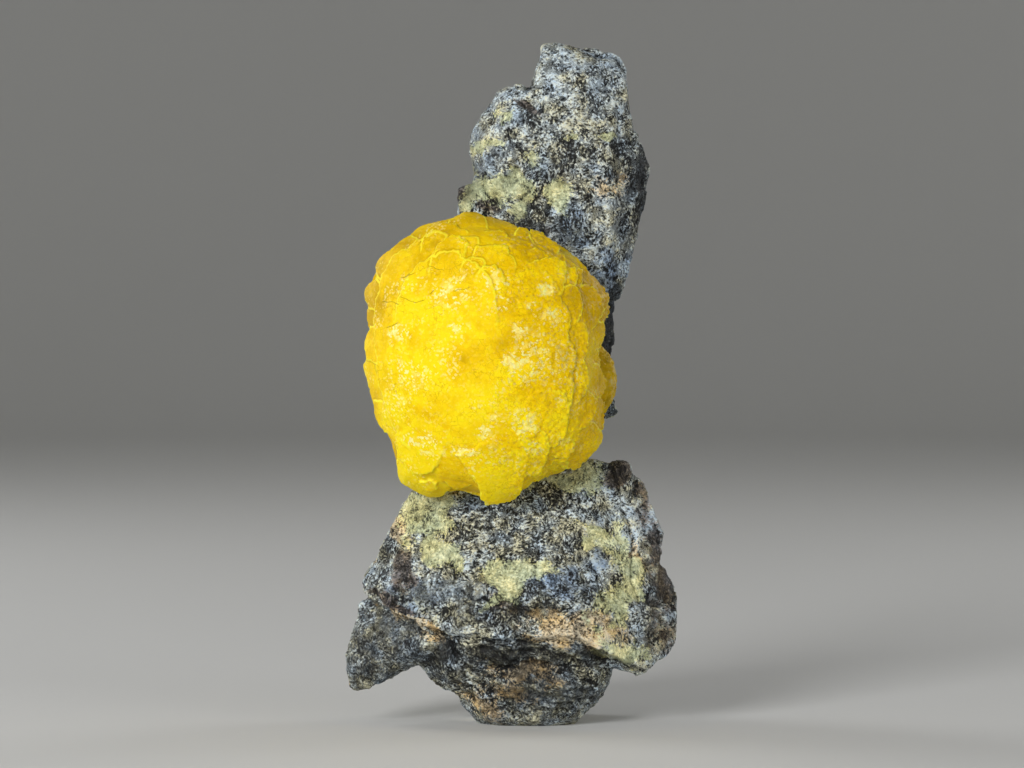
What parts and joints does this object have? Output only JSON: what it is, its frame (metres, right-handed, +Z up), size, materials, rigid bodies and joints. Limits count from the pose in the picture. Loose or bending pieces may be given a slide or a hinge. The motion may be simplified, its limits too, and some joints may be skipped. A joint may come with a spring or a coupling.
{
  "type": "brucite specimen",
  "caption": "Mineral specimen: a rounded yellow ball of curved brucite plates on an upright piece of grey-green rock, taken to be serpentinite, standing on a small flat foot.",
  "frame": {"origin": "centre of the flat foot that the rock stands on", "axes": "+Z up along the specimen's height, -Y out of its front, where the brucite is, +X to the right as seen from the front"},
  "size_m": [0.0583, 0.0469, 0.12],
  "materials": {
    "serpentinite": "fractured, granular, with waxy green patches",
    "brucite": "cleaved plates, translucent, pearly to waxy"
  },
  "bodies": {
    "root": {"serpentinite_matrix": "serpentinite", "brucite_ball": "brucite"}
  },
  "joints": []
}
